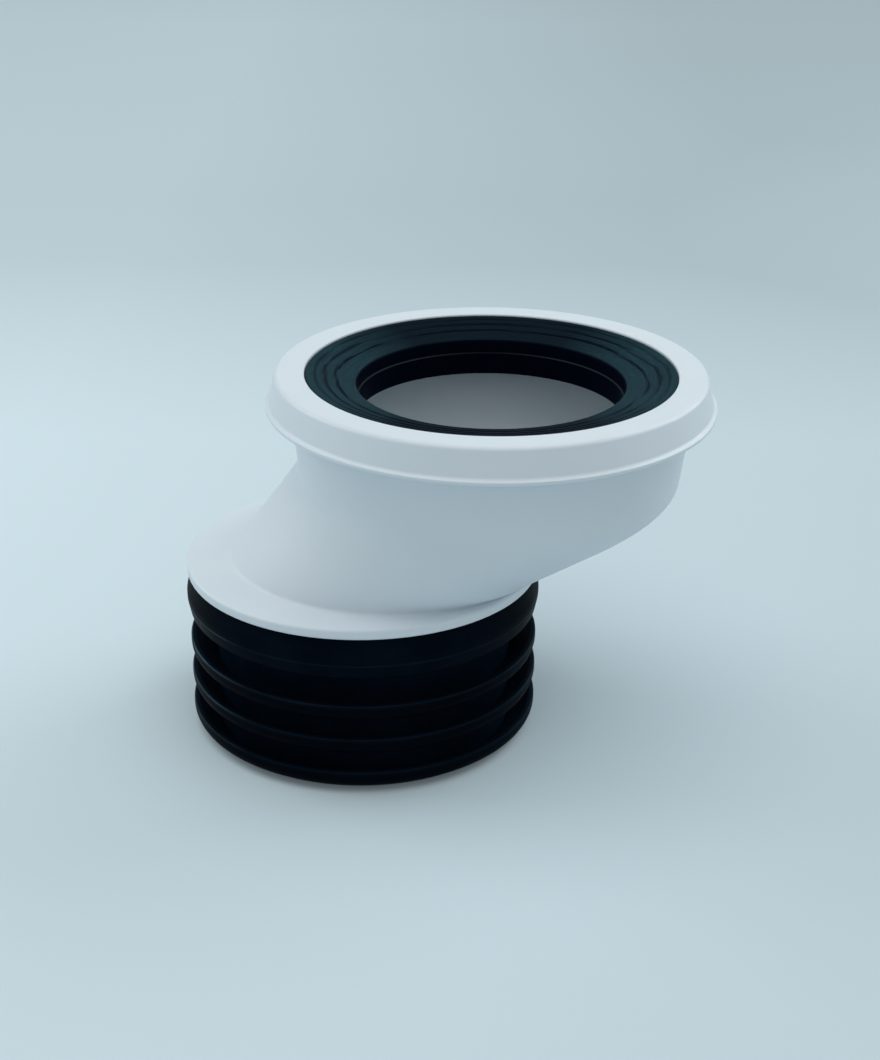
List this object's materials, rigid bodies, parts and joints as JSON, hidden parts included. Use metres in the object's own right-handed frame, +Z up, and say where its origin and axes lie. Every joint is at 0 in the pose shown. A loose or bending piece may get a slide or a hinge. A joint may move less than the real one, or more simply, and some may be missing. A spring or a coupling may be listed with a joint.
{
  "type": "toilet pan connector",
  "caption": "Offset toilet pan connector: white plastic socket with a clip-on ring and a dished rubber inlet seal, above a flanged spigot with a finned rubber seal for the soil pipe.",
  "frame": {"origin": "on the outlet axis, on the plane of the outlet seal's nose the connector stands on", "axes": "+Z up along the outlet axis to the inlet, +X from the outlet axis to the inlet axis, +Y completes the right hand"},
  "size_m": [0.1663, 0.1394, 0.1181],
  "materials": {
    "body_plastic": "white moulded polypropylene, satin",
    "cap_plastic": "white moulded polypropylene, satin",
    "inlet_rubber": "black rubber, dusty matt, moulded",
    "outlet_rubber": "black rubber, matt, moulded"
  },
  "bodies": {
    "root": {"body": "body_plastic", "retaining_cap": "cap_plastic", "inlet_seal": "inlet_rubber", "outlet_seal": "outlet_rubber"}
  },
  "joints": []
}
